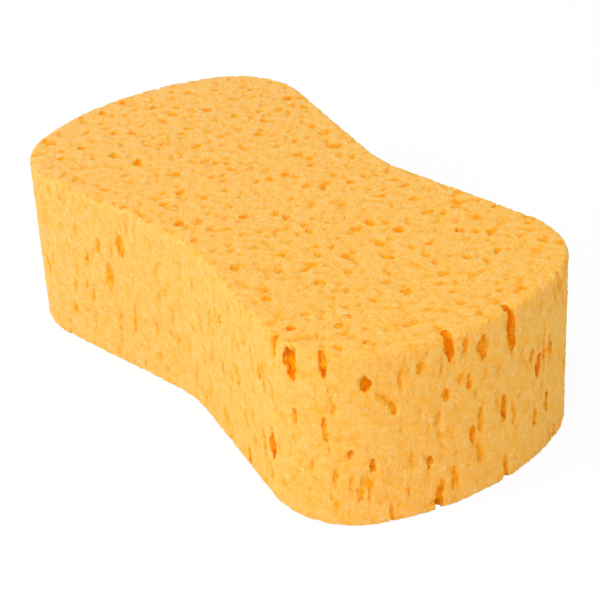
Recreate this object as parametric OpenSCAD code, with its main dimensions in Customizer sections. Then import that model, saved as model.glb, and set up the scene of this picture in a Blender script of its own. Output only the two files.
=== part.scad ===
// A large hourglass cleaning sponge, cut from one block of polyurethane foam.
//
// The block lies on its flat bottom face. X runs from end to end, Y across and Z up,
// and the origin is the middle of the bottom face. Sizes are in millimetres.
//
// The outline is four equal quarters. Each quarter is a bowed end, a round lobe, a
// straight flank and half of a round waist, and each runs smoothly into the next.
//
// The foam rose while it set, so its bubbles are upright and long. The sides cut them
// along their length and show slits. The top and the bottom cut them across and show
// round pits.

/* [Block] */
// Length over the two bowed ends
body_length = 210; // [175:1:252]
// Width over the lobes, where the block is widest
body_width = 110; // [92:1:132]
// Height of the block, which is the thickness of the foam
body_height = 64; // [52:1:80]

/* [Outline] */
// How far the waist dips in from the widest line, on each side
waist_depth = 12; // [8:0.5:15]
// Radius of the hollow at the waist that a hand closes round
waist_radius = 50; // [40:1:62]
// Radius of the four lobes
lobe_radius = 30; // [25:1:36]
// Radius of the two bowed ends
end_radius = 92; // [76:1:112]

/* [Pits in the top and the bottom] */
// Distance between neighbouring pits
pit_spacing = 12; // [10:1:30]
// Diameter of the bubbles behind the widest pits
pit_width = 3.8; // [2.4:0.1:5]
// Depth of a pit, as a share of its bubble's diameter
pit_depth = 0.62; // [0.55:0.01:0.75]

/* [Slits in the sides] */
// Distance between neighbouring slits, round the block
slit_spacing = 12; // [10:1:24]
// Number of rows of slits, one above the other
slit_rows = 3; // [1:1:4]
// Width of the widest scattered slits
slit_width = 2.4; // [1.5:0.1:3]
// Length of the longest scattered slits
slit_length = 13; // [8:1:16]
// Depth of a slit, as a multiple of its own width
slit_depth = 1.2; // [0.6:0.1:2]
// Most that a scattered slit leans from upright, in degrees
slit_lean = 4; // [0:0.5:8]

/* [Scatter] */
// Seed that scatters the pores, another value gives another block
pore_seed = 5; // [1:1:99]
// How far pores stray from an even grid, as a share of their spacing
pore_stray = 0.75; // [0:0.05:0.8]
// How much smaller the smallest pores are than the widest, as a share
pore_spread = 0.6; // [0:0.05:0.7]

/* [Hidden] */
foam = "#fcbf58";
outline_facets = 180;
pore_facets = 24;

// Round parts of the outline are drawn this much larger, so that they cross what they
// run into and don't only touch it
lap = 0.002;
// How far a slit's cutter stands out of the side that it cuts
overshoot = 2;

function polar(centre, radius, angle) = centre + radius * [cos(angle), sin(angle)];
function arc_length(radius, angle) = radius * angle * PI / 180;
function arc_angle(radius, length) = length / radius * 180 / PI;
function mirrored(point, sx, sy) = [sx * point.x, sy * point.y];
function all_mirrored(points, sx, sy) = [for (p = points) mirrored(p, sx, sy)];
function reversed(list) = [for (i = [len(list) - 1:-1:0]) list[i]];
// A value from -most to most, for a throw from 0 to 1
function either_way(throw, most) = most * (2 * throw - 1);
// A size from the widest down to the smallest, for a throw from 0 to 1
function sized(throw, widest) = widest * (1 - pore_spread * throw);

// Centres of the arcs in the quarter at +X +Y, and the points where its runs meet
end_centre = [body_length / 2 - end_radius, 0];
lobe_y = body_width / 2 - lobe_radius;
lobe_centre = end_centre + [sqrt(pow(end_radius - lobe_radius, 2) - pow(lobe_y, 2)), lobe_y];
waist_centre = [0, body_width / 2 - waist_depth + waist_radius];
lobe_to_waist = waist_centre - lobe_centre;
join_angle = atan2(lobe_y, lobe_centre.x - end_centre.x);
flank_angle = atan2(lobe_to_waist.y, lobe_to_waist.x)
  - acos((lobe_radius + waist_radius) / norm(lobe_to_waist));
end_join = polar(end_centre, end_radius, join_angle);
lobe_join = polar(lobe_centre, lobe_radius, flank_angle);
waist_join = polar(waist_centre, -waist_radius, flank_angle);

// Distances along the outline, from the middle of the end to each join and to the waist
end_run = arc_length(end_radius, join_angle);
lobe_run = end_run + arc_length(lobe_radius, flank_angle - join_angle);
flank_run = lobe_run + norm(waist_join - lobe_join);
quarter_run = flank_run + arc_length(waist_radius, flank_angle - 90);

// The point on the quarter at a distance along it, and the angle that it faces
function quarter_at(run) =
  run < end_run ?
    let (a = arc_angle(end_radius, run)) [polar(end_centre, end_radius, a), a]
  : run < lobe_run ?
    let (a = join_angle + arc_angle(lobe_radius, run - end_run))
    [polar(lobe_centre, lobe_radius, a), a]
  : run < flank_run ?
    let (share = (run - lobe_run) / (flank_run - lobe_run))
    [lobe_join + share * (waist_join - lobe_join), flank_angle]
  : let (a = flank_angle - arc_angle(waist_radius, run - flank_run))
    [polar(waist_centre, -waist_radius, a), a];

// The same for the whole outline, from the middle of the +X end. Positive distances
// run round the front, which is -Y, and negative ones round the back.
function outline_at(run) =
  let (beyond_waist = abs(run) > quarter_run,
       sx = beyond_waist ? -1 : 1,
       sy = run > 0 ? -1 : 1,
       q = quarter_at(beyond_waist ? 2 * quarter_run - abs(run) : abs(run)))
  [mirrored(q[0], sx, sy), atan2(sin(q[1]) * sy, cos(q[1]) * sx)];

// Half of the block's width, at a distance from the middle of its length
function half_width(x) =
  x < waist_join.x ? waist_centre.y - sqrt(pow(waist_radius, 2) - pow(x, 2))
  : x < lobe_join.x ? waist_join.y
    + (x - waist_join.x) * (lobe_join.y - waist_join.y) / (lobe_join.x - waist_join.x)
  : x < end_join.x ? lobe_y + sqrt(pow(lobe_radius, 2) - pow(x - lobe_centre.x, 2))
  : sqrt(max(0, pow(end_radius, 2) - pow(x - end_centre.x, 2)));

// Pits as [x, y, bubble's diameter]. All are clear of the outline, and of the middle of
// the face, which stays flat. Every second column is moved on by half a row.
pit_columns = floor(body_length / pit_spacing);
pit_rows = floor(body_width / pit_spacing);
flat_middle = 8;
function pit_fits(x, y) =
  abs(y) + pit_width < half_width(abs(x) + pit_width) && norm([x, y]) > flat_middle;
function pits(seed) =
  let (throws = rands(0, 1, 3 * (pit_columns + 1) * (pit_rows + 1), seed))
  [for (i = [0:pit_columns], j = [0:pit_rows])
    let (k = 3 * (i * (pit_rows + 1) + j),
         column = i - pit_columns / 2 + either_way(throws[k], pore_stray / 2),
         row = j - pit_rows / 2 + (i % 2 - 0.5) / 2 + either_way(throws[k + 1], pore_stray / 2),
         x = column * pit_spacing,
         y = row * pit_spacing)
    if (pit_fits(x, y)) [x, y, sized(throws[k + 2], pit_width)]];

// The bubbles that the blade laid open widest, each as [distance round the outline,
// height, width, length, lean]. The distance is a share of a quarter's run and the
// height is a share of the block's, so that they keep their places on any block.
open_bubbles = [
  [0.01, 0.86, 2.4, 13, 0], [0.06, 0.90, 2.0, 7, 0], [0.10, 0.94, 3.2, 14, 4],
  [0.05, 0.69, 2.0, 7, 0], [0.11, 0.67, 2.2, 6, 5], [0.02, 0.45, 1.8, 14, 0],
  [0.04, 0.38, 2.4, 9, 0], [0.13, 0.06, 3.0, 13, 0], [0.09, 0.17, 1.8, 13, 0],
  [0.15, 0.31, 2.4, 6, 0], [0.23, 0.67, 2.0, 5, 0], [0.28, 0.36, 2.0, 7, 4],
  [0.29, 0.83, 3.4, 7, 0], [0.33, 0.43, 1.8, 5, 0], [0.38, 0.94, 2.4, 13, 3],
  [0.38, 0.57, 1.8, 13, 2], [0.46, 0.89, 4.2, 13, 6], [0.54, 0.33, 4.0, 11, 0],
  [0.59, 0.70, 2.2, 8, 0], [1.22, 0.77, 5.0, 10, 0], [1.27, 0.53, 4.0, 15, 0],
  [1.35, 0.62, 2.4, 7, 0], [-0.05, 0.45, 2.6, 13, 0], [-0.07, 0.88, 3.6, 20, 3],
  [-0.17, 0.56, 3.4, 10, 0], [-0.21, 0.30, 2.2, 11, 0]
];
open_slits = [for (b = open_bubbles) [b[0] * quarter_run, b[1] * body_height, b[2], b[3], b[4]]];

// Scattered slits, as [distance round the outline, height, width, length, lean], with
// room left round the open bubbles, along the outline and up
room = [6, slit_length];
slit_columns = round(4 * quarter_run / slit_spacing);
function crowded(run, z) =
  len([for (s = open_slits) if (abs(run - s[0]) < room.x && abs(z - s[1]) < room.y) s]) > 0;
function slits(seed) =
  let (throws = rands(0, 1, 5 * slit_columns * slit_rows, seed))
  [for (i = [0:slit_columns - 1], j = [0:slit_rows - 1])
    let (k = 5 * (i * slit_rows + j),
         column = i + (j % 2) / 2 + either_way(throws[k], pore_stray / 2),
         row = j + 0.5 + either_way(throws[k + 1], pore_stray / 2),
         run = (column / slit_columns - 0.5) * 4 * quarter_run,
         z = row / slit_rows * body_height)
    if (!crowded(run, z))
      [run, z, sized(throws[k + 2], slit_width), sized(throws[k + 3], slit_length),
       either_way(throws[k + 4], slit_lean)]];

module outline() {
  joins = [end_join, lobe_join, waist_join];
  difference() {
    union() {
      polygon(concat(
        joins, reversed(all_mirrored(joins, -1, 1)),
        all_mirrored(joins, -1, -1), reversed(all_mirrored(joins, 1, -1))
      ));
      for (sx = [-1, 1], sy = [-1, 1])
        translate(mirrored(lobe_centre, sx, sy)) circle(lobe_radius + lap);
      for (end = [0, 180]) rotate(end) bowed_end();
    }
    for (side = [0, 180]) rotate(side) translate(waist_centre) circle(waist_radius + lap);
  }
}

// One end, from between its two lobes out to its bow
module bowed_end() {
  intersection() {
    translate(end_centre) circle(end_radius);
    translate([lobe_centre.x, -end_join.y]) square([body_length, 2 * end_join.y]);
  }
}

// A slit's outline, pointed at both ends: what two equal circles share
module lens(width, length) {
  radius = (pow(width, 2) + pow(length, 2)) / (4 * width);
  intersection_for (side = [-1, 1]) translate([side * (radius - width / 2), 0]) circle(radius);
}

// A slit in the side of the block, sunk straight in
module slit(run, z, width, length, lean) {
  place = outline_at(run);
  depth = slit_depth * width;
  translate([place[0].x, place[0].y, z]) rotate([90, 0, place[1] + 90])
    translate([0, 0, -depth]) linear_extrude(depth + overshoot) rotate(lean) lens(width, length);
}

// A round pit in the top of the block: the part of a bubble that the blade left
module pit(x, y, diameter) {
  translate([x, y, body_height + (0.5 - pit_depth) * diameter]) sphere(d = diameter);
}

module sponge_body() {
  color(foam) difference() {
    linear_extrude(body_height) outline($fn = outline_facets);
    for (p = pits(pore_seed)) pit(p[0], p[1], p[2], $fn = pore_facets);
    translate([0, 0, body_height]) mirror([0, 0, 1])
      for (p = pits(pore_seed + 1)) pit(p[0], p[1], p[2], $fn = pore_facets);
    for (s = concat(open_slits, slits(pore_seed)))
      slit(s[0], s[1], s[2], s[3], s[4], $fn = pore_facets);
  }
}

sponge_body();
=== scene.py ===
"""A large hourglass cleaning sponge, cut from one block of polyurethane foam.

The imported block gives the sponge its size, its outline and its widest bubbles. This
script makes the foam itself: the smaller bubbles that the blade laid open, the soft torn
edges between them, and the matt, light-holding surface that dense foam has.
"""

from __future__ import annotations

import logging
import math
import random
from dataclasses import dataclass
from enum import Enum

import bpy
import numpy as np
from mathutils import Matrix, Quaternion, Vector


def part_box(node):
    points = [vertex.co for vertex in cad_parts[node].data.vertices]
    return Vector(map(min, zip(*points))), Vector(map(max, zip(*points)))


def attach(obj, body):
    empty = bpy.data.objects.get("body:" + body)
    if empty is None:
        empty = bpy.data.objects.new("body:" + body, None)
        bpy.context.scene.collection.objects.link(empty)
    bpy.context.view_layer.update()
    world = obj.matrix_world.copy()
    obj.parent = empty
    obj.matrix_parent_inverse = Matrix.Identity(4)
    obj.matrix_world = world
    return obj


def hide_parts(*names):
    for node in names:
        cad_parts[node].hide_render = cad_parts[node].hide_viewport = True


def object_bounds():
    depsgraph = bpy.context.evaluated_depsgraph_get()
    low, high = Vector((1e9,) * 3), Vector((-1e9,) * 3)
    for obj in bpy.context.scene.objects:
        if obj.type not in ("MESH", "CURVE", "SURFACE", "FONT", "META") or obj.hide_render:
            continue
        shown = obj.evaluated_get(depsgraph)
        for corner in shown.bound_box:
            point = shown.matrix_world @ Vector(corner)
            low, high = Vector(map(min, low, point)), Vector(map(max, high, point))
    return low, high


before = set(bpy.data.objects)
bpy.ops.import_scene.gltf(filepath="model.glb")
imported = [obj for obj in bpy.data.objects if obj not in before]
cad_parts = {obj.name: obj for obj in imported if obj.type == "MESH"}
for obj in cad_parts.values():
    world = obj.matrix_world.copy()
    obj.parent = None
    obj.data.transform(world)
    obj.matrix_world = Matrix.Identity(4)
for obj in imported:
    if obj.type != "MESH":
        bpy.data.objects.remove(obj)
cad_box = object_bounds()

MM = 0.001
CAD_NODE = "sponge_body"
BODY = "root"

log = logging.getLogger("sponge")


# --------------------------------------------------------------------------- helpers


def linear(hex_colour: str) -> tuple[float, float, float, float]:
    """Turn an sRGB hex colour into the linear colour that shaders take.

    Args:
        hex_colour: Six hex digits after a hash, such as "#fcbf58".

    Returns:
        Linear red, green and blue, with an alpha of 1.
    """
    channels = [int(hex_colour[i : i + 2], 16) / 255 for i in (1, 3, 5)]
    bent = [c / 12.92 if c <= 0.04045 else ((c + 0.055) / 1.055) ** 2.4 for c in channels]
    return bent[0], bent[1], bent[2], 1.0


def select_only(obj: bpy.types.Object) -> None:
    """Make one object the whole selection and the active object."""
    bpy.ops.object.select_all(action="DESELECT")
    obj.select_set(True)
    bpy.context.view_layer.objects.active = obj


def finish_with(obj: bpy.types.Object, kind: str, **settings: object) -> None:
    """Add a modifier to an object, set it and apply it.

    Args:
        obj: The object to change.
        kind: The modifier's type, such as "REMESH".
        **settings: The modifier's properties and their values.
    """
    modifier = obj.modifiers.new(kind.lower(), kind)
    for name, value in settings.items():
        setattr(modifier, name, value)
    select_only(obj)
    bpy.ops.object.modifier_apply(modifier=modifier.name)


def positions(mesh: bpy.types.Mesh) -> np.ndarray:
    """Return a mesh's vertex positions as an array of rows of three."""
    flat = np.empty(len(mesh.vertices) * 3, np.float32)
    mesh.vertices.foreach_get("co", flat)
    return flat.reshape(-1, 3)


def move_to(mesh: bpy.types.Mesh, points: np.ndarray) -> None:
    """Move a mesh's vertices to new positions, given as rows of three."""
    mesh.vertices.foreach_set("co", points.astype(np.float32).ravel())
    mesh.update()


def add_node(
    tree: bpy.types.NodeTree,
    kind: str,
    inputs: dict[str | int, object] | None = None,
    **settings: object,
) -> bpy.types.Node:
    """Add a shader node with its settings, its plain values and its incoming links.

    Args:
        tree: The node tree to add to.
        kind: The node's type, without the ShaderNode prefix.
        inputs: What goes into the inputs, by their names or numbers. A socket is
            linked, and anything else is set as a plain value.
        **settings: The node's own properties.

    Returns:
        The new node.
    """
    node = tree.nodes.new("ShaderNode" + kind)
    for name, value in settings.items():
        setattr(node, name, value)
    for name, value in (inputs or {}).items():
        if isinstance(value, bpy.types.NodeSocket):
            tree.links.new(value, node.inputs[name])
        else:
            node.inputs[name].default_value = value
    return node


def mix_colours(
    tree: bpy.types.NodeTree,
    blend: str,
    share: bpy.types.NodeSocket | float,
    under: bpy.types.NodeSocket,
    over: bpy.types.NodeSocket | tuple[float, float, float, float],
) -> bpy.types.NodeSocket:
    """Lay one colour over another.

    Args:
        tree: The node tree to add to.
        blend: The way they mix, such as "MULTIPLY".
        share: How much of the upper colour shows, from 0 to 1.
        under: The lower colour.
        over: The upper colour.

    Returns:
        The mixed colour.
    """
    # A Mix node has sockets for every kind of value. 6, 7 and output 2 are for colours.
    inputs = {"Factor": share, 6: under, 7: over}
    return add_node(tree, "Mix", inputs, data_type="RGBA", blend_type=blend).outputs[2]


# --------------------------------------------------------------------------- blank


@dataclass(frozen=True)
class Outline:
    """The block's hourglass outline, made of four equal quarters.

    A quarter runs from the middle of a bowed end round a lobe and along a straight
    flank to the middle of the waist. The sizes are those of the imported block.

    Attributes:
        length: Length over both ends.
        width: Width over the lobes.
        waist_depth: How far the waist lies in from the lobes, on each side.
        waist_radius: Radius of the waist's arc.
        lobe_radius: Radius of a lobe's arc.
        end_radius: Radius of a bowed end's arc.
    """

    length: float
    width: float
    waist_depth: float = 12 * MM
    waist_radius: float = 50 * MM
    lobe_radius: float = 30 * MM
    end_radius: float = 92 * MM

    @property
    def end_centre(self) -> Vector:
        """Centre of the bowed end's arc."""
        return Vector((self.length / 2 - self.end_radius, 0))

    @property
    def lobe_centre(self) -> Vector:
        """Centre of the lobe's arc."""
        y = self.width / 2 - self.lobe_radius
        reach = self.end_radius - self.lobe_radius
        return self.end_centre + Vector((math.sqrt(reach**2 - y**2), y))

    @property
    def waist_centre(self) -> Vector:
        """Centre of the waist's arc, outside the block."""
        return Vector((0, self.width / 2 - self.waist_depth + self.waist_radius))

    @property
    def join_angle(self) -> float:
        """The way the outline faces where the end runs into the lobe."""
        across = self.lobe_centre - self.end_centre
        return math.atan2(across.y, across.x)

    @property
    def flank_angle(self) -> float:
        """The way the straight flank faces."""
        across = self.waist_centre - self.lobe_centre
        turn = math.acos((self.lobe_radius + self.waist_radius) / across.length)
        return math.atan2(across.y, across.x) - turn

    @staticmethod
    def polar(centre: Vector, radius: float, angle: float) -> Vector:
        """Return the point at an angle on a circle."""
        return centre + radius * Vector((math.cos(angle), math.sin(angle)))

    @property
    def flank(self) -> tuple[Vector, Vector]:
        """The two ends of the straight flank, at the lobe and at the waist."""
        return (
            self.polar(self.lobe_centre, self.lobe_radius, self.flank_angle),
            self.polar(self.waist_centre, -self.waist_radius, self.flank_angle),
        )

    @property
    def runs(self) -> tuple[float, float, float, float]:
        """Distances from the end's middle to the lobe, flank, waist and waist's middle."""
        at_lobe, at_waist = self.flank
        lobe = self.end_radius * self.join_angle
        flank_start = lobe + self.lobe_radius * (self.flank_angle - self.join_angle)
        waist = flank_start + (at_lobe - at_waist).length
        middle = waist + self.waist_radius * (self.flank_angle - math.pi / 2)
        return lobe, flank_start, waist, middle

    def quarter_at(self, run: float) -> tuple[Vector, float]:
        """Find a place on the quarter at +X +Y.

        Args:
            run: Distance along the quarter from the end's middle.

        Returns:
            The point, and the angle that the outline faces there.
        """
        lobe, flank, waist, _ = self.runs
        if run < lobe:
            angle = run / self.end_radius
            return self.polar(self.end_centre, self.end_radius, angle), angle
        if run < flank:
            angle = self.join_angle + (run - lobe) / self.lobe_radius
            return self.polar(self.lobe_centre, self.lobe_radius, angle), angle
        if run < waist:
            at_lobe, at_waist = self.flank
            share = (run - flank) / (waist - flank)
            return at_lobe.lerp(at_waist, share), self.flank_angle
        angle = self.flank_angle - (run - waist) / self.waist_radius
        return self.polar(self.waist_centre, -self.waist_radius, angle), angle

    def at(self, run: float) -> tuple[Vector, float]:
        """Find a place anywhere on the outline.

        Args:
            run: Distance from the middle of the +X end, positive round the front (-Y)
                and negative round the back.

        Returns:
            The point, and the angle that the outline faces there.
        """
        middle = self.runs[3]
        beyond = abs(run) > middle
        point, angle = self.quarter_at(2 * middle - abs(run) if beyond else abs(run))
        flip = Vector((-1 if beyond else 1, -1 if run > 0 else 1))
        facing = Vector((math.cos(angle), math.sin(angle))) * flip
        return point * flip, math.atan2(facing.y, facing.x)

    def half_width(self, x: float) -> float:
        """Return half of the block's width at a distance from its middle."""
        end = self.polar(self.end_centre, self.end_radius, self.join_angle)
        lobe, waist = self.flank
        if x < waist.x:
            return self.waist_centre.y - math.sqrt(self.waist_radius**2 - x**2)
        if x < lobe.x:
            return waist.lerp(lobe, (x - waist.x) / (lobe.x - waist.x)).y
        if x < end.x:
            rise = math.sqrt(self.lobe_radius**2 - (x - self.lobe_centre.x) ** 2)
            return self.lobe_centre.y + rise
        return math.sqrt(max(0.0, self.end_radius**2 - (x - self.end_centre.x) ** 2))

    def below(self, x: np.ndarray, y: np.ndarray) -> tuple[np.ndarray, np.ndarray]:
        """Find how far points near the side lie below it.

        Args:
            x: The points' distances along the block.
            y: The points' distances across it.

        Returns:
            Each point's depth, and the way that the side faces there, as rows of two.
        """
        quarter = np.abs(np.stack((x, y), axis=1))
        from_end = quarter - np.array(self.end_centre)
        from_lobe = quarter - np.array(self.lobe_centre)
        to_waist = np.array(self.waist_centre) - quarter
        along = np.array((math.cos(self.flank_angle), math.sin(self.flank_angle)))
        on_end = np.arctan2(from_end[:, 1], from_end[:, 0]) < self.join_angle
        round_lobe = np.arctan2(from_lobe[:, 1], from_lobe[:, 0])
        on_lobe = (round_lobe > self.join_angle) & (round_lobe < self.flank_angle)
        on_waist = np.arctan2(to_waist[:, 0], to_waist[:, 1]) > math.pi / 2 - self.flank_angle
        # Every point belongs to the flank, until one of the arcs claims it.
        depth = self.lobe_radius - from_lobe @ along
        facing = np.tile(along, (len(x), 1))
        for here, way, radius in (
            (on_waist, to_waist, -self.waist_radius),
            (on_lobe, from_lobe, self.lobe_radius),
            (on_end, from_end, self.end_radius),
        ):
            reach = np.linalg.norm(way, axis=1)
            depth = np.where(here, math.copysign(1, radius) * (abs(radius) - reach), depth)
            facing = np.where(here[:, None], way / reach[:, None], facing)
        return depth, facing * np.where(np.stack((x, y), axis=1) < 0, -1, 1)


@dataclass(frozen=True)
class Blank:
    """The plain block, before any bubble is laid open.

    Attributes:
        outline: Its outline.
        height: Its height. It stands on the level of 0.
    """

    outline: Outline
    height: float

    def below(self, points: np.ndarray) -> tuple[np.ndarray, np.ndarray, np.ndarray]:
        """Find how far points lie below the faces.

        Args:
            points: The points, as rows of three.

        Returns:
            Each point's depth below the side, the way that the side faces there as rows
            of two, and its depth below the nearer of the top and the bottom.
        """
        side, facing = self.outline.below(points[:, 0], points[:, 1])
        return side, facing, np.minimum(points[:, 2], self.height - points[:, 2])

    def end_facing(self, points: np.ndarray) -> np.ndarray:
        """Return 1 for each point nearer the top, and -1 for each nearer the bottom."""
        return np.sign(points[:, 2] - self.height / 2)


# --------------------------------------------------------------------------- bubbles


class Face(Enum):
    """A flat face of the block, by the way that it faces along Z."""

    TOP = 1
    BOTTOM = -1


@dataclass(frozen=True)
class Bubble:
    """One bubble of the foam that the blade laid open.

    Attributes:
        centre: Its middle, in the block's frame.
        width: How wide it is, along the face it opens in.
        depth: How long it is the other way: inwards from a side, or along a flat face.
        height: How tall it is, along the way the foam rose.
        turn: Its turn about the vertical.
        lean: How far it leans from the vertical.
    """

    centre: Vector
    width: float
    depth: float
    height: float
    turn: float
    lean: float

    def matrix(self) -> Matrix:
        """Return the transform from a bubble of size 1 to this one."""
        turned = Matrix.Rotation(self.turn, 4, "Z") @ Matrix.Rotation(self.lean, 4, "X")
        sized = Matrix.Diagonal((self.depth, self.width, self.height, 1))
        return Matrix.Translation(self.centre) @ turned @ sized


@dataclass(frozen=True)
class Litter:
    """A litter of like bubbles, scattered over an even grid.

    Attributes:
        spacing: Distance between neighbours, along the face.
        width: Smallest and largest width.
        height: Smallest and largest height. It is a length for a bubble in a side, and
            a share of the width for one in a flat face.
        sunk: Smallest and largest share of the bubble that lies inside the block.
        kept: Share of the places that hold a bubble.
        rise: Distance between neighbours up a side. A flat face has no use for it.
    """

    spacing: float
    width: tuple[float, float]
    height: tuple[float, float]
    sunk: tuple[float, float]
    kept: float
    rise: float = math.inf


@dataclass(frozen=True)
class Batch:
    """Bubbles that are cut at one time, so alike in size that few of them meet.

    Attributes:
        pits: The bubbles of the top and the bottom.
        slits: The bubbles of the sides.
    """

    pits: Litter
    slits: Litter


class BubbleBed:
    """Scatters the bubbles over every face of the block.

    Attributes:
        STRAY: How wide the range is that a bubble may stray in, over the spacing.
        MOST_LEAN: How far a bubble in a side leans at most.
        BIAS: How strongly small sizes are preferred. At 1 every size is as likely.
        FLAT_STRETCH: Least and most length of a bubble in a flat face, over its width.
        SIDE_STRETCH: Least and most depth of a bubble in a side, over its width.
    """

    STRAY = 0.9
    MOST_LEAN = math.radians(7)
    BIAS = 1.8
    FLAT_STRETCH = (0.7, 1.3)
    SIDE_STRETCH = (0.8, 1.6)

    def __init__(self, blank: Blank, seed: int) -> None:
        """Take the plain block and the seed of the scatter."""
        self.outline = blank.outline
        self.height = blank.height
        self.dice = random.Random(seed)

    def small_first(self, low: float, high: float) -> float:
        """Pick a size between two limits, most often near the smaller one."""
        return low + (high - low) * self.dice.random() ** self.BIAS

    def stray(self) -> float:
        """Return how far a bubble strays from its place, as a share of the spacing."""
        return self.STRAY * (self.dice.random() - 0.5)

    def scatter(self, batch: Batch) -> list[Bubble]:
        """Scatter a batch over the top, the bottom and the sides.

        Args:
            batch: The bubbles to scatter.

        Returns:
            The bubbles of every face.
        """
        flats = self.flat_face(Face.TOP, batch.pits) + self.flat_face(Face.BOTTOM, batch.pits)
        return flats + self.side(batch.slits)

    def flat_face(self, face: Face, litter: Litter) -> list[Bubble]:
        """Scatter a litter over the top or the bottom.

        Args:
            face: The top or the bottom.
            litter: The bubbles to scatter.

        Returns:
            The bubbles, each cut across by the face.
        """
        columns = math.ceil(self.outline.length / litter.spacing)
        rows = math.ceil(self.outline.width / litter.spacing)
        level = self.height if face is Face.TOP else 0.0
        found = []
        for i in range(columns):
            for j in range(rows):
                # Every second column lies half a step further on.
                x = (i + 0.5 - columns / 2 + self.stray()) * litter.spacing
                y = (j + 0.25 + (i % 2) / 2 - rows / 2 + self.stray()) * litter.spacing
                width = self.small_first(*litter.width)
                height = width * self.dice.uniform(*litter.height)
                sunk = self.dice.uniform(*litter.sunk)
                depth = width * self.dice.uniform(*self.FLAT_STRETCH)
                turn = self.dice.uniform(0, math.pi)
                z = level - face.value * height * (sunk - 0.5)
                in_length = abs(x) < self.outline.length / 2
                inside = in_length and abs(y) < self.outline.half_width(abs(x))
                if inside and self.dice.random() < litter.kept:
                    found.append(Bubble(Vector((x, y, z)), width, depth, height, turn, 0.0))
        return found

    def side(self, litter: Litter) -> list[Bubble]:
        """Scatter a litter round the sides.

        Args:
            litter: The bubbles to scatter.

        Returns:
            The bubbles, each cut along its length by the side.
        """
        around = 4 * self.outline.runs[3]
        columns = round(around / litter.spacing)
        rows = max(1, round(self.height / litter.rise))
        found = []
        for i in range(columns):
            for j in range(rows):
                # Every second row lies half a step further round.
                run = ((i + (j % 2) / 2 + self.stray()) / columns - 0.5) * around
                z = (j + 0.5 + self.stray()) / rows * self.height
                width = self.small_first(*litter.width)
                height = self.small_first(*litter.height)
                sunk = self.dice.uniform(*litter.sunk)
                depth = width * self.dice.uniform(*self.SIDE_STRETCH)
                lean = self.dice.uniform(-self.MOST_LEAN, self.MOST_LEAN)
                point, facing = self.outline.at(run)
                inward = depth * (sunk - 0.5)
                x, y = point - inward * Vector((math.cos(facing), math.sin(facing)))
                if self.dice.random() < litter.kept:
                    found.append(Bubble(Vector((x, y, z)), width, depth, height, facing, lean))
        return found


# --------------------------------------------------------------------------- foam block


@dataclass(frozen=True)
class Dimples:
    """Soft ragged dimples, pressed in wherever a cloudy pattern is at its densest.

    Attributes:
        name: The pattern's name.
        group: The vertex group that they go into.
        size: Size of the pattern's clouds.
        stretch: How many times taller than wide the clouds are.
        deepest: How deep the deepest dimple is.
        starts: Density at which a dimple begins, from 0 to 1.
        bottoms: Density at which it is at its deepest.
    """

    name: str
    group: str
    size: float
    stretch: float
    deepest: float
    starts: float
    bottoms: float

    def press(self, block: bpy.types.Object) -> None:
        """Press the dimples into a mesh, square to its skin.

        Args:
            block: The object, which has the vertex group.
        """
        clouds = bpy.data.textures.new(self.name, "CLOUDS")
        clouds.noise_scale = 1.0
        clouds.noise_depth = 2
        clouds.use_color_ramp = True
        stops = clouds.color_ramp.elements
        stops[0].position, stops[0].color = self.starts, (0, 0, 0, 1)
        stops[1].position, stops[1].color = self.bottoms, (1, 1, 1, 1)
        clouds.color_ramp.interpolation = "EASE"
        ruler = bpy.data.objects.new(self.name, None)
        ruler.scale = (self.size, self.size, self.size * self.stretch)
        bpy.context.scene.collection.objects.link(ruler)
        bpy.context.view_layer.update()
        finish_with(
            block,
            "DISPLACE",
            texture=clouds,
            texture_coords="OBJECT",
            texture_coords_object=ruler,
            direction="NORMAL",
            vertex_group=self.group,
            strength=-self.deepest,
            mid_level=0.0,
        )
        bpy.data.objects.remove(ruler)
        bpy.data.textures.remove(clouds)


@dataclass(frozen=True)
class Pull:
    """A pull on the skin whose way and strength change from spot to spot.

    Attributes:
        name: The pattern's name.
        size: Distance over which the pull changes.
        span: How wide the range is, along each axis, that it moves spots in.
    """

    name: str
    size: float
    span: float

    def apply(self, block: bpy.types.Object, group: str) -> None:
        """Pull a mesh's vertices about.

        Args:
            block: The object.
            group: The vertex group that says how freely each vertex moves.
        """
        clouds = bpy.data.textures.new(self.name, "CLOUDS")
        clouds.noise_scale = self.size
        clouds.noise_depth = 1
        clouds.cloud_type = "COLOR"
        finish_with(
            block,
            "DISPLACE",
            texture=clouds,
            texture_coords="LOCAL",
            direction="RGB_TO_XYZ",
            vertex_group=group,
            strength=self.span,
            mid_level=0.5,
        )
        bpy.data.textures.remove(clouds)


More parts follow.
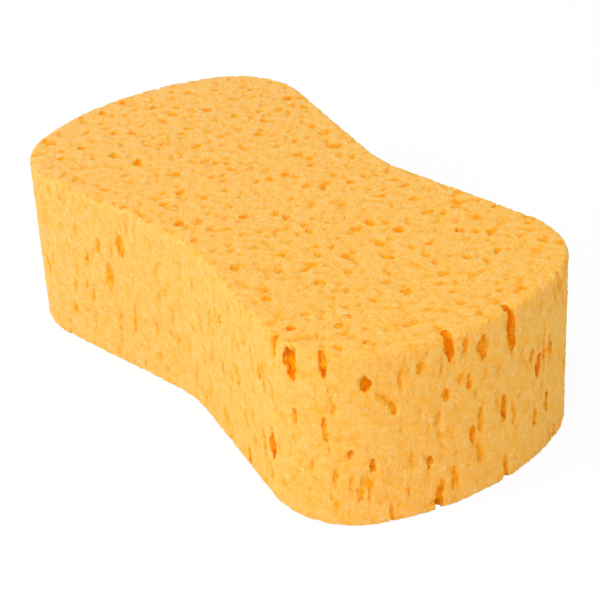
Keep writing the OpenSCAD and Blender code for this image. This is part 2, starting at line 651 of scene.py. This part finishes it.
@dataclass
class FoamBlock:
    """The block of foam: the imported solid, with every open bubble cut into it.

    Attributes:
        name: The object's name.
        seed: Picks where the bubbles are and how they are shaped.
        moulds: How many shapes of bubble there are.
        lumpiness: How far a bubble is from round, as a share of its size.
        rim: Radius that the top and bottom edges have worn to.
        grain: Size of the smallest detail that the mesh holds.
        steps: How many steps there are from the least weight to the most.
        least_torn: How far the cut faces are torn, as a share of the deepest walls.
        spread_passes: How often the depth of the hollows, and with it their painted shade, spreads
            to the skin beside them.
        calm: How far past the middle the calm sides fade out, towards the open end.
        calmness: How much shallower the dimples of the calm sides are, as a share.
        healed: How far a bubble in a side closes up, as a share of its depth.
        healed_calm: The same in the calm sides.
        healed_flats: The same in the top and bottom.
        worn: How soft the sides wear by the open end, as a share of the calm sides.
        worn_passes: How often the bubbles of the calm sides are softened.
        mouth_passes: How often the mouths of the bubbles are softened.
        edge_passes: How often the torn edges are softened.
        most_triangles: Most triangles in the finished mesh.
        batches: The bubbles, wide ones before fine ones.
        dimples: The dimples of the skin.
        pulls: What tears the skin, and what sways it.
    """

    name: str = "foam_block"
    seed: int = 11
    moulds: int = 6
    lumpiness: float = 0.09
    rim: float = 1.5 * MM
    grain: float = 0.42 * MM
    steps: int = 10
    least_torn: float = 0.15
    spread_passes: int = 8
    calm: float = 60 * MM
    calmness: float = 0.1
    healed: float = 0.55
    healed_calm: float = 0.86
    healed_flats: float = 0.45
    worn: float = 0.5
    worn_passes: int = 30
    mouth_passes: int = 10
    edge_passes: int = 6
    most_triangles: int = 196_000
    batches: tuple[Batch, ...] = (
        Batch(
            pits=Litter(
                spacing=8 * MM,
                width=(2.0 * MM, 3.6 * MM),
                height=(0.7, 1.2),
                sunk=(0.22, 0.5),
                kept=0.4,
            ),
            slits=Litter(
                spacing=9 * MM,
                width=(1.4 * MM, 2.6 * MM),
                height=(4 * MM, 12 * MM),
                sunk=(0.2, 0.5),
                kept=0.3,
                rise=14 * MM,
            ),
        ),
        Batch(
            pits=Litter(
                spacing=4.6 * MM,
                width=(1.2 * MM, 2.2 * MM),
                height=(0.8, 1.4),
                sunk=(0.3, 0.6),
                kept=0.4,
            ),
            slits=Litter(
                spacing=5 * MM,
                width=(1.0 * MM, 1.7 * MM),
                height=(2 * MM, 7 * MM),
                sunk=(0.3, 0.6),
                kept=0.4,
                rise=9 * MM,
            ),
        ),
    )
    dimples: tuple[Dimples, ...] = (
        Dimples(
            name="soft_dimples",
            group="flats",
            size=3.2 * MM,
            stretch=1.0,
            deepest=1.3 * MM,
            starts=0.58,
            bottoms=0.8,
        ),
        Dimples(
            name="small_dimples",
            group="flats",
            size=1.6 * MM,
            stretch=1.0,
            deepest=0.8 * MM,
            starts=0.58,
            bottoms=0.78,
        ),
        Dimples(
            name="soft_streaks",
            group="sides",
            size=2.6 * MM,
            stretch=4.0,
            deepest=1.1 * MM,
            starts=0.61,
            bottoms=0.82,
        ),
        Dimples(
            name="small_streaks",
            group="sides",
            size=1.4 * MM,
            stretch=3.0,
            deepest=0.6 * MM,
            starts=0.6,
            bottoms=0.8,
        ),
    )
    pulls: tuple[Pull, ...] = (
        Pull(name="tear", size=1.4 * MM, span=2.6 * MM),
        Pull(name="sway", size=5 * MM, span=1.0 * MM),
    )

    def build(self) -> bpy.types.Object:
        """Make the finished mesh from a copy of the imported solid.

        Returns:
            The foam block's object.
        """
        block = self.copy_of_frame()
        low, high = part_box(CAD_NODE)
        size = high - low
        blank = Blank(Outline(size.x, size.y), size.z)
        bed = BubbleBed(blank, self.seed)
        for batch in self.batches:
            bubbles = bed.scatter(batch)
            self.cut(block, self.cutter(bubbles))
            log.info("%s: cut %d bubbles", self.name, len(bubbles))
        finish_with(block, "REMESH", mode="VOXEL", voxel_size=self.grain, adaptivity=0.0)
        self.soften(block, self.mouth_passes)
        self.heal(block, blank)
        self.wear_rims(block, blank)
        self.tear(block)
        self.soften(block, self.edge_passes)
        # The remesh leaves faces with four corners, so each one counts twice.
        share = self.most_triangles / (2 * len(block.data.polygons))
        finish_with(block, "DECIMATE", ratio=share, use_collapse_triangulate=True)
        block.data.materials.clear()
        select_only(block)
        bpy.ops.object.shade_smooth()
        log.info("%s: %d triangles", self.name, len(block.data.polygons))
        return block

    def copy_of_frame(self) -> bpy.types.Object:
        """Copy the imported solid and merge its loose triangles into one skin."""
        block = bpy.data.objects.new(self.name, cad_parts[CAD_NODE].data.copy())
        bpy.context.scene.collection.objects.link(block)
        select_only(block)
        bpy.ops.object.mode_set(mode="EDIT")
        bpy.ops.mesh.select_all(action="SELECT")
        bpy.ops.mesh.remove_doubles(threshold=0.001 * MM)
        bpy.ops.object.mode_set(mode="OBJECT")
        return block

    @staticmethod
    def soften(block: bpy.types.Object, passes: int, group: str = "") -> None:
        """Smooth a mesh a number of times, by the weights of a vertex group if named."""
        finish_with(block, "SMOOTH", factor=0.5, iterations=passes, vertex_group=group)

    def heal(self, block: bpy.types.Object, blank: Blank) -> None:
        """Close the bubbles up in part, and press soft ragged dimples between them.

        The sides far from the open end close up most. The dimples of the sides stand
        upright.

        Args:
            block: The block's object.
            blank: The plain block.
        """
        points = positions(block.data)
        side, facing, end = blank.below(points)
        calm = np.clip((self.calm - points[:, 0]) / self.calm, 0, 1)
        sides = end > side
        rise = side * sides * (self.healed + (self.healed_calm - self.healed) * calm)
        points[:, :2] += rise[:, None] * facing
        points[:, 2] += end * ~sides * self.healed_flats * blank.end_facing(points)
        move_to(block.data, points)
        self.weigh(block, "worn", sides * (self.worn + (1 - self.worn) * calm))
        self.soften(block, self.worn_passes, "worn")
        self.weigh(block, "flats", ~sides * 1.0)
        self.weigh(block, "sides", sides * (1 - self.calmness * calm))
        for dimples in self.dimples:
            dimples.press(block)
        block.vertex_groups.clear()

    def wear_rims(self, block: bpy.types.Object, blank: Blank) -> None:
        """Round the top and bottom edges, as they wear in use.

        How far each spot lay below the cut faces is stored on the mesh in millimetres
        first, as the attribute "hollow", because the painted shade of the hollows follows it.

        Args:
            block: The block's object.
            blank: The plain block.
        """
        points = positions(block.data)
        side, facing, end = blank.below(points)
        # The spread depth sets the painted shade of the hollows, and how much the skin tears.
        depth = self.spread_on_skin(block.data, np.minimum(side, end) / MM)
        stored = block.data.attributes.new("hollow", "FLOAT", "POINT")
        stored.data.foreach_set("value", depth.astype(np.float32))
        over_side, over_end = self.rim - side, self.rim - end
        worn = (over_side > 0) & (over_end > 0)
        kept = np.maximum(over_side, over_end) / np.hypot(over_side, over_end)
        back = np.where(worn, 1 - kept, 0)
        points[:, :2] -= (back * over_side)[:, None] * facing
        points[:, 2] -= back * over_end * blank.end_facing(points)
        move_to(block.data, points)

    def spread_on_skin(self, mesh: bpy.types.Mesh, values: np.ndarray) -> np.ndarray:
        """Let a value spread along the skin, so that the painted shade of the hollows fades softly
        onto the skin beside them.

        Args:
            mesh: The mesh.
            values: The value at each vertex.

        Returns:
            The values, each mixed with those of its neighbours.
        """
        ends = np.empty(2 * len(mesh.edges), np.int32)
        mesh.edges.foreach_get("vertices", ends)
        here, there = ends[0::2], ends[1::2]
        count = len(values)
        neighbours = np.bincount(here, minlength=count) + np.bincount(there, minlength=count)
        for _ in range(self.spread_passes):
            ahead = np.bincount(here, values[there], count)
            behind = np.bincount(there, values[here], count)
            values = (values + (ahead + behind) / neighbours) / 2
        return values

    def mould(self, seed: int) -> bpy.types.Mesh:
        """Model one lumpy bubble of size 1 and return its mesh.

        Args:
            seed: Picks the lumps.

        Returns:
            A closed mesh about 1 across, centred on the origin.
        """
        bpy.ops.object.select_all(action="DESELECT")
        bpy.ops.mesh.primitive_ico_sphere_add(subdivisions=2, radius=0.5)
        ball = bpy.context.object
        bpy.ops.object.mode_set(mode="EDIT")
        bpy.ops.mesh.select_all(action="SELECT")
        bpy.ops.transform.vertex_random(
            offset=self.lumpiness, uniform=0.4, normal=0.0, seed=seed
        )
        bpy.ops.object.mode_set(mode="OBJECT")
        mesh = ball.data
        bpy.data.objects.remove(ball)
        return mesh

    def cutter(self, bubbles: list[Bubble]) -> bpy.types.Object:
        """Join all the bubbles into one object that cuts them at once.

        Args:
            bubbles: What to cut.

        Returns:
            The cutter's object.
        """
        moulds = [self.mould(self.seed + i) for i in range(self.moulds)]
        bpy.ops.object.select_all(action="DESELECT")
        for i, bubble in enumerate(bubbles):
            mesh = moulds[i % len(moulds)].copy()
            mesh.transform(bubble.matrix())
            cutter = bpy.data.objects.new("cutter", mesh)
            bpy.context.scene.collection.objects.link(cutter)
            cutter.select_set(True)
            bpy.context.view_layer.objects.active = cutter
        bpy.ops.object.join()
        for mesh in moulds:
            bpy.data.meshes.remove(mesh)
        return bpy.context.view_layer.objects.active

    @staticmethod
    def cut(block: bpy.types.Object, cutter: bpy.types.Object) -> None:
        """Cut a tool out of the block, and throw the tool away.

        Args:
            block: The block's object.
            cutter: The closed shapes to cut.
        """
        finish_with(block, "BOOLEAN", operation="DIFFERENCE", solver="MANIFOLD", object=cutter)
        bpy.data.objects.remove(cutter)

    def weigh(self, block: bpy.types.Object, name: str, weights: np.ndarray) -> None:
        """Add a vertex group, with its weights rounded to a few steps.

        Args:
            block: The block's object.
            name: The group's name.
            weights: Each vertex's weight, from 0 to 1.
        """
        group = block.vertex_groups.new(name=name)
        step = np.round(weights * self.steps)
        for number in range(1, self.steps + 1):
            group.add(np.flatnonzero(step == number).tolist(), number / self.steps, "REPLACE")

    def tear(self, block: bpy.types.Object) -> None:
        """Pull the skin about, so that edges run torn and no two mouths match.

        The walls of the bubbles are pulled about most, and the cut faces little.

        Args:
            block: The block's object.
        """
        depth = np.empty(len(block.data.vertices), np.float32)
        block.data.attributes["hollow"].data.foreach_get("value", depth)
        self.weigh(block, "torn", np.clip(self.least_torn + depth, self.least_torn, 1))
        for pull in self.pulls:
            pull.apply(block, "torn")
        block.vertex_groups.clear()


# --------------------------------------------------------------------------- finish


@dataclass(frozen=True)
class CutFoam:
    """Flexible polyurethane foam, dyed through and cut with a blade.

    Light enters its cell walls and wanders before it comes out, so shade is soft. The
    hollows are also painted deeper and more saturated in colour by their depth, as painted
    shade; the block is painted paler towards its -X end, as painted pale light; and painted
    glints are scattered over it. The cut cells make it quite matt, with a grain of paler
    struts and deeper windows.

    Attributes:
        skin: The cut face seen square on.
        hollow: A shallow bubble, as painted shade: deeper and more saturated than the skin.
        deep: The walls inside a deep bubble, as painted shade, deeper and more saturated still.
        skin_depth: How deep the skin's colour goes, in millimetres, as all depths here.
        hollow_depth: Depth that has the hollow's colour.
        deep_depth: Depth that the deep colour begins at.
        patch: Size of the paler and deeper patches that the foam rose in.
        rich: The deepest dye of the patches, over the colours above.
        plain: The palest dye of the patches.
        patch_span: Values of the patches' noise that have the deepest and palest dye.
        tint_away_from_pale_light: The tint, over the colours above, laid on fully at the +X end
            and less towards the -X end, where the colour pales as painted pale light.
        pale_light_run: How far each way from the middle the painted pale light changes.
        cell: Size of a cell. Real cells are about 0.4 mm, and are drawn at twice that
            so that they show.
        window: Distance from one window between the cells to the next, in cells.
        glint: Painted highlight: the colour of the odd pale fleck, scattered at random, that
            stands in for a wet-looking cell window catching the light.
        glint_span: Values of the glints' noise that they begin at and are fullest at.
        glint_share: How much of a glint shows where it is fullest.
        cell_strength: How much the relief of the cells shows.
        cell_height: Height of the cells' relief.
        window_strength: How much the relief of the windows shows.
        window_height: Height of the windows' relief.
        roughness: How matt the cell walls are.
        shine: How much they mirror.
        scattered: Share of the light that wanders inside before it comes out.
        scatter_reach: How far that light wanders.
        scatter_colour: How far its red, green and blue parts go, as shares of that.
    """

    skin: str = "#fcc478"
    hollow: str = "#ffb02e"
    deep: str = "#ffa008"
    skin_depth: float = 0.1
    hollow_depth: float = 0.76
    deep_depth: float = 2.0
    patch: float = 3.2 * MM
    rich: str = "#ffe9a6"
    plain: str = "#ffffff"
    patch_span: tuple[float, float] = (0.32, 0.68)
    tint_away_from_pale_light: str = "#fffde2"
    pale_light_run: float = 100 * MM
    cell: float = 0.8 * MM
    window: float = 1.3
    glint: str = "#fff0cc"
    glint_span: tuple[float, float] = (0.75, 0.83)
    glint_share: float = 0.3
    cell_strength: float = 0.7
    cell_height: float = 0.6 * MM
    window_strength: float = 0.5
    window_height: float = 0.5 * MM
    roughness: float = 0.9
    shine: float = 0.02
    scattered: float = 0.6
    scatter_reach: float = 3 * MM
    scatter_colour: tuple[float, float, float] = (1.0, 0.5, 0.18)

    def material(self) -> bpy.types.Material:
        """Build the foam's material.

        Returns:
            The material, for the whole block.
        """
        made = bpy.data.materials.new("cut_polyurethane_foam")
        made.use_nodes = True
        tree = made.node_tree
        tree.nodes.clear()
        place = add_node(tree, "TexCoord").outputs["Object"]
        shader = add_node(
            tree,
            "BsdfPrincipled",
            {
                "Base Color": self.colour(tree, place),
                "Normal": self.relief(tree, place),
                "Roughness": self.roughness,
                "IOR": 1.45,
                "Specular IOR Level": self.shine,
                "Subsurface Weight": self.scattered,
                "Subsurface Radius": self.scatter_colour,
                "Subsurface Scale": self.scatter_reach,
            },
        )
        add_node(tree, "OutputMaterial", {"Surface": shader.outputs["BSDF"]})
        return made

    @staticmethod
    def noise(
        tree: bpy.types.NodeTree,
        place: bpy.types.NodeSocket,
        size: float,
        detail: float,
        roughness: float = 0.6,
    ) -> bpy.types.NodeSocket:
        """Add a noise whose lumps are about one size across.

        Args:
            tree: The material's node tree.
            place: The object coordinates.
            size: Distance between neighbouring lumps.
            detail: How many finer layers it has.
            roughness: How strong each layer is, beside the next coarser one.

        Returns:
            The noise's value, from 0 to 1 and mostly near 0.5.
        """
        inputs = {"Vector": place, "Scale": 1 / size, "Detail": detail, "Roughness": roughness}
        return add_node(tree, "TexNoise", inputs).outputs["Fac"]

    def colour(
        self, tree: bpy.types.NodeTree, place: bpy.types.NodeSocket
    ) -> bpy.types.NodeSocket:
        """Add the colour: painted shade by depth, then dyed in patches, given painted pale light
        towards the -X end and painted glints.

        Args:
            tree: The material's node tree.
            place: The object coordinates.

        Returns:
            The colour's socket.
        """
        patches = self.noise(tree, place, self.patch, detail=2.0, roughness=0.9)
        dye = self.dye(tree, patches)
        # The colour by depth is painted shade: deeper and more saturated in the hollows.
        dyed = mix_colours(tree, "MULTIPLY", 1.0, self.painted_shade_by_depth(tree), dye)
        # Painted pale light: the tint is multiplied in fully at the +X end and not at the -X end,
        # so the colour pales towards -X.
        along = add_node(tree, "SeparateXYZ", {"Vector": place}).outputs["X"]
        pale_light_run = {"Value": along, "From Min": -self.pale_light_run, "From Max": self.pale_light_run}
        kept = add_node(tree, "MapRange", pale_light_run).outputs["Result"]
        with_pale_light = mix_colours(tree, "MULTIPLY", kept, dyed, linear(self.tint_away_from_pale_light))
        # Painted glints: pale flecks laid over the colour where a noise is highest, standing in
        # for highlights.
        begins, fullest = self.glint_span
        glints = {
            "Value": self.noise(tree, place, self.window * self.cell, detail=0.0),
            "From Min": begins,
            "From Max": fullest,
            "To Max": self.glint_share,
        }
        shown = add_node(tree, "MapRange", glints).outputs["Result"]
        return mix_colours(tree, "MIX", shown, with_pale_light, linear(self.glint))

    def painted_shade_by_depth(self, tree: bpy.types.NodeTree) -> bpy.types.NodeSocket:
        """Add the colours of the skin and of the bubbles by how deep each spot lies, as painted
        shade that deepens the colour in the hollows.

        Args:
            tree: The material's node tree.

        Returns:
            The colour's socket.
        """
        # Painted shade: the deeper a spot lies, the deeper and more saturated its colour.
        depth = add_node(tree, "Attribute", attribute_name="hollow").outputs["Fac"]
        span = {"Value": depth, "From Min": 0.0, "From Max": self.deep_depth}
        share = add_node(tree, "MapRange", span).outputs["Result"]
        ramp = add_node(tree, "ValToRGB", {"Fac": share})
        first, last = ramp.color_ramp.elements
        first.position, first.color = self.skin_depth / self.deep_depth, linear(self.skin)
        last.position, last.color = 1.0, linear(self.deep)
        middle = ramp.color_ramp.elements.new(self.hollow_depth / self.deep_depth)
        middle.color = linear(self.hollow)
        return ramp.outputs["Color"]

    def dye(
        self, tree: bpy.types.NodeTree, patches: bpy.types.NodeSocket
    ) -> bpy.types.NodeSocket:
        """Add the dye of the patches.

        Args:
            tree: The material's node tree.
            patches: The noise that lays the patches out.

        Returns:
            The dye's socket, a colour to multiply with.
        """
        ramp = add_node(tree, "ValToRGB", {"Fac": patches})
        first, last = ramp.color_ramp.elements
        first.position, last.position = self.patch_span
        first.color, last.color = linear(self.rich), linear(self.plain)
        return ramp.outputs["Color"]

    def relief(
        self, tree: bpy.types.NodeTree, place: bpy.types.NodeSocket
    ) -> bpy.types.NodeSocket:
        """Add the relief of the cut cells, and over it that of the windows between them.

        Args:
            tree: The material's node tree.
            place: The object coordinates.

        Returns:
            The normal's socket.
        """
        lumps = {
            "Height": self.noise(tree, place, self.cell, detail=2.0),
            "Strength": self.cell_strength,
            "Distance": self.cell_height,
        }
        scale = 1 / (self.window * self.cell)
        windows = add_node(tree, "TexVoronoi", {"Vector": place, "Scale": scale})
        dents = {
            "Height": windows.outputs["Distance"],
            "Normal": add_node(tree, "Bump", lumps).outputs["Normal"],
            "Strength": self.window_strength,
            "Distance": self.window_height,
        }
        return add_node(tree, "Bump", dents).outputs["Normal"]


# --------------------------------------------------------------------------- studio


@dataclass(frozen=True)
class Lamp:
    """A square soft light that faces the sponge.

    Attributes:
        name: The lamp's name.
        azimuth: Where it stands round the sponge, 0 in front of it, in degrees.
        elevation: How high it stands, in degrees.
        distance: How far it stands from the sponge.
        size: Its edge.
        power: Its power in watts.
    """

    name: str
    azimuth: float
    elevation: float
    distance: float
    size: float
    power: float


@dataclass(frozen=True)
class Studio:
    """A pale floor, even light all round, a soft lamp and the camera.

    Attributes:
        centre: The middle of the sponge.
        azimuth: Where the camera stands round the sponge, 0 in front, in degrees.
        elevation: How high the camera stands, in degrees.
        roll: How far the camera is turned about the way it looks, in degrees.
        distance: How far the camera stands from the point that it aims at.
        lens: Focal length of the lens, in millimetres.
        aim: The point that the camera aims at, from the middle of the sponge.
        ambient: Strength of the even light.
        key: The soft lamp.
        floor_size: The floor's edge.
        floor_paint: The floor's colour.
        floor_glow: Share of plain white in what the camera sees of the floor.
    """

    centre: Vector
    azimuth: float = 55.1
    elevation: float = 31.3
    roll: float = -3.13
    distance: float = 666.5 * MM
    lens: float = 116.8
    aim: Vector = Vector((14.0, -5.4, -0.5)) * MM
    ambient: float = 0.655
    key: Lamp = Lamp("key_lamp", azimuth=15, elevation=50, distance=1.4, size=1.2, power=13.5)
    floor_size: float = 8.0
    floor_paint: str = "#fafafa"
    floor_glow: float = 0.93

    @staticmethod
    def way_to(azimuth: float, elevation: float) -> Vector:
        """Return the direction from the sponge to a place in the studio."""
        a, e = math.radians(azimuth), math.radians(elevation)
        return Vector((math.sin(a) * math.cos(e), -math.cos(a) * math.cos(e), math.sin(e)))

    def build(self) -> None:
        """Set up the floor, the light and the camera."""
        self.floor()
        self.world()
        self.add_lamp(self.key)
        self.camera()

    def floor(self) -> None:
        """Lay a white floor that keeps a faint shadow."""
        bpy.ops.object.select_all(action="DESELECT")
        bpy.ops.mesh.primitive_plane_add(size=self.floor_size)
        floor = bpy.context.object
        floor.name = "studio_floor"
        made = bpy.data.materials.new("white_floor")
        made.use_nodes = True
        tree = made.node_tree
        tree.nodes.clear()
        paint = add_node(tree, "BsdfDiffuse", {"Color": linear(self.floor_paint)})
        glow = add_node(tree, "Emission", {"Color": (1, 1, 1, 1), "Strength": 1.0})
        factors = {0: self.seen(tree), 1: self.floor_glow}
        share = add_node(tree, "Math", factors, operation="MULTIPLY").outputs[0]
        layers = {0: share, 1: paint.outputs[0], 2: glow.outputs[0]}
        mixed = add_node(tree, "MixShader", layers)
        add_node(tree, "OutputMaterial", {"Surface": mixed.outputs[0]})
        floor.data.materials.append(made)

    @staticmethod
    def seen(tree: bpy.types.NodeTree) -> bpy.types.NodeSocket:
        """Return 1 for rays from the camera, off gloss and through glass, else 0."""
        rays = add_node(tree, "LightPath").outputs
        seen = rays["Is Camera Ray"]
        for kind in ("Is Glossy Ray", "Is Transmission Ray"):
            seen = add_node(tree, "Math", {0: seen, 1: rays[kind]}, operation="MAXIMUM").outputs[0]
        return seen

    def world(self) -> None:
        """Light the studio evenly, and show it as white."""
        world = bpy.data.worlds.new("studio")
        bpy.context.scene.world = world
        world.use_nodes = True
        tree = world.node_tree
        tree.nodes.clear()
        soft = add_node(tree, "Background", {"Color": (1, 1, 1, 1), "Strength": self.ambient})
        white = add_node(tree, "Background", {"Color": (1, 1, 1, 1), "Strength": 1.0})
        layers = {0: self.seen(tree), 1: soft.outputs[0], 2: white.outputs[0]}
        mixed = add_node(tree, "MixShader", layers)
        add_node(tree, "OutputWorld", {"Surface": mixed.outputs[0]})

    def add_lamp(self, lamp: Lamp) -> None:
        """Hang one lamp, facing the sponge."""
        light = bpy.data.lights.new(lamp.name, "AREA")
        light.size = lamp.size
        light.energy = lamp.power
        way = self.way_to(lamp.azimuth, lamp.elevation)
        hung = bpy.data.objects.new(lamp.name, light)
        hung.location = self.centre + way * lamp.distance
        hung.rotation_mode = "QUATERNION"
        hung.rotation_quaternion = way.to_track_quat("Z", "Y")
        bpy.context.scene.collection.objects.link(hung)

    def camera(self) -> None:
        """Place the camera."""
        lens = bpy.data.cameras.new("camera")
        lens.lens = self.lens
        lens.sensor_width = 36
        lens.clip_start, lens.clip_end = 0.01, 50
        way = self.way_to(self.azimuth, self.elevation)
        camera = bpy.data.objects.new("camera", lens)
        camera.location = self.centre + self.aim + way * self.distance
        camera.rotation_mode = "QUATERNION"
        tilt = Quaternion(way, math.radians(self.roll))
        camera.rotation_quaternion = tilt @ way.to_track_quat("Z", "Y")
        bpy.context.scene.collection.objects.link(camera)
        bpy.context.scene.camera = camera


def main() -> None:
    """Build the foam block, dress it and set up the studio."""
    logging.basicConfig(level=logging.INFO, format="%(name)s: %(message)s")
    block = FoamBlock().build()
    block.data.materials.append(CutFoam().material())
    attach(block, BODY)
    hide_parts(CAD_NODE)
    low, high = cad_box
    Studio(centre=(low + high) / 2).build()
    bpy.context.scene.view_settings.view_transform = "Standard"


if __name__ == "__main__":
    main()
